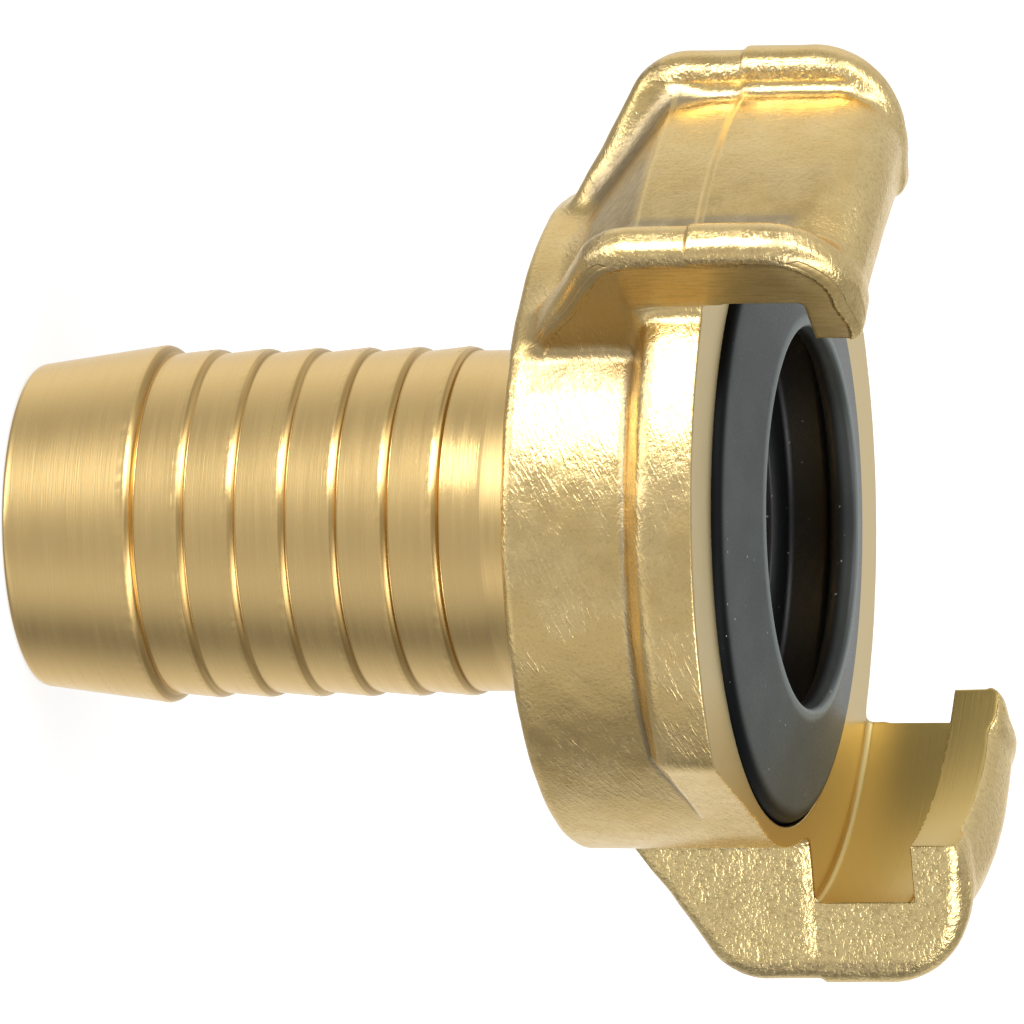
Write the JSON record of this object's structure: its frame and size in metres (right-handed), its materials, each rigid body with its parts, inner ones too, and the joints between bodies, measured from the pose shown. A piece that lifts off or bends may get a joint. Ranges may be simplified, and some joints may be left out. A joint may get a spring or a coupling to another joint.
{
  "type": "claw hose coupling",
  "caption": "Quick-connect claw coupling in brass with a barbed hose tail, flange segments behind the claws and a rubber face seal.",
  "frame": {"origin": "centre of the hose tail's end face, on the axis", "axes": "+Z along the axis from the hose tail to the claws, +X through the middle of a claw"},
  "size_m": [0.0548, 0.046, 0.0545],
  "materials": {
    "body": "forged and turned, satin",
    "seal": "moulded, satin"
  },
  "bodies": {
    "root": {"coupling_body": "body", "seal_ring": "seal"}
  },
  "joints": []
}
